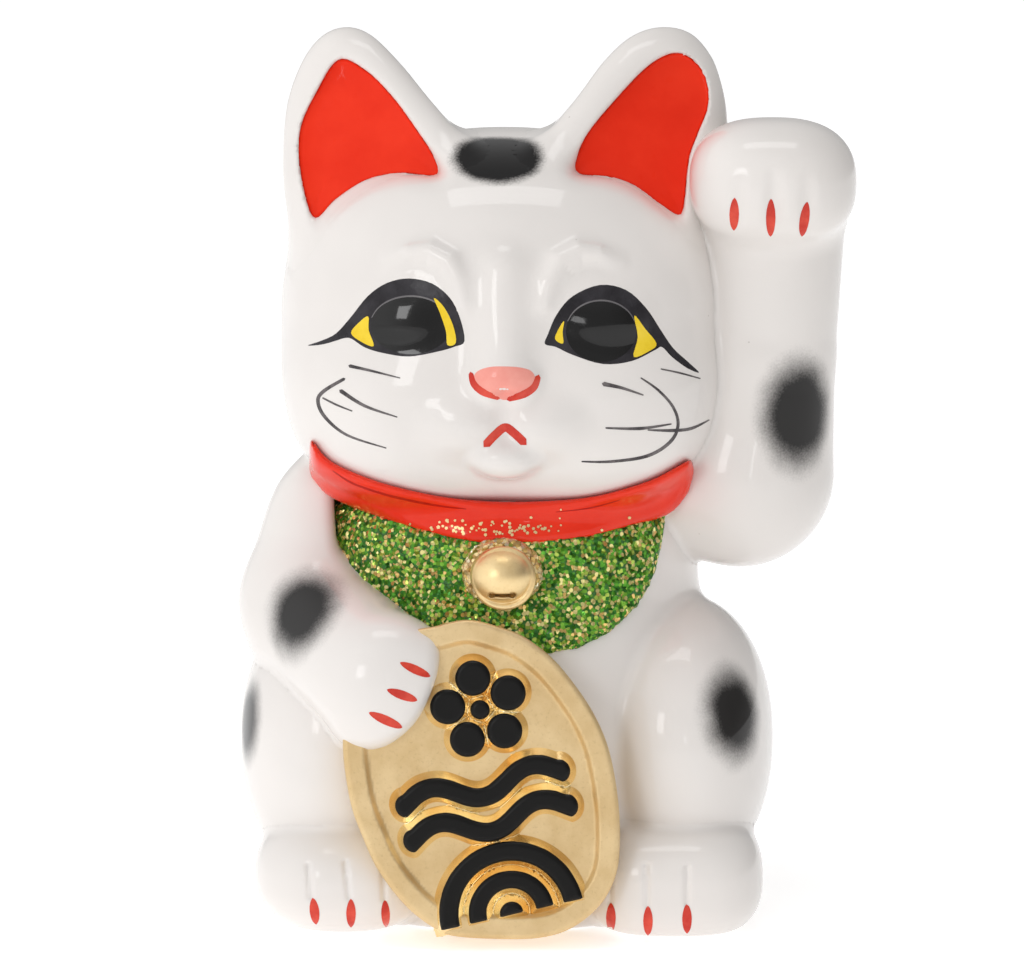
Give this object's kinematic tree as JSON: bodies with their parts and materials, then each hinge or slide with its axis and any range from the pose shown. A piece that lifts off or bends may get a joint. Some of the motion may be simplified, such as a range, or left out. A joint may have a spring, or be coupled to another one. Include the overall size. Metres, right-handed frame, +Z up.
{
  "type": "beckoning cat figurine",
  "caption": "Seated glazed ceramic cat with one paw raised, large ears, a collar with a bell and glitter bib, an oval coin at its belly, and a hollow body used as a coin bank.",
  "frame": {"origin": "middle of the bottom of the overall box, on the surface the figurine stands on", "axes": "+Z up, -Y out of the cat's face, +X to the side of the raised paw (the cat's left)"},
  "size_m": [0.1236, 0.0996, 0.1756],
  "materials": {
    "white_glaze": "high gloss white glaze with airbrushed soft black spots and painted black, red, pink and yellow face details",
    "ear_glaze": "high gloss white glaze outside, bright red painted hollow",
    "red_enamel": "high gloss red enamel",
    "gold_paint": "satin gold paint over the glaze",
    "black_enamel": "gloss black enamel with gold flanks",
    "green_glitter": "coarse green glitter with gold and lime flakes, set in clear glue",
    "stopper_rubber": "matte moulded rubber"
  },
  "bodies": {
    "figurine": {"torso": "white_glaze", "head": "white_glaze", "left_ear": "ear_glaze", "right_ear": "ear_glaze", "raised_arm": "white_glaze", "lowered_arm": "white_glaze", "left_foot": "white_glaze", "right_foot": "white_glaze", "tail": "white_glaze", "oval_coin": "gold_paint", "coin_crest": "black_enamel", "collar": "red_enamel", "bib": "green_glitter", "bell": "gold_paint"},
    "stopper": {"stopper": "stopper_rubber"}
  },
  "joints": [
    {"name": "stopper_pull", "type": "slide", "parent": "figurine", "child": "stopper", "axis": [0, 0, -1], "range_m": [0, 0.03]}
  ]
}
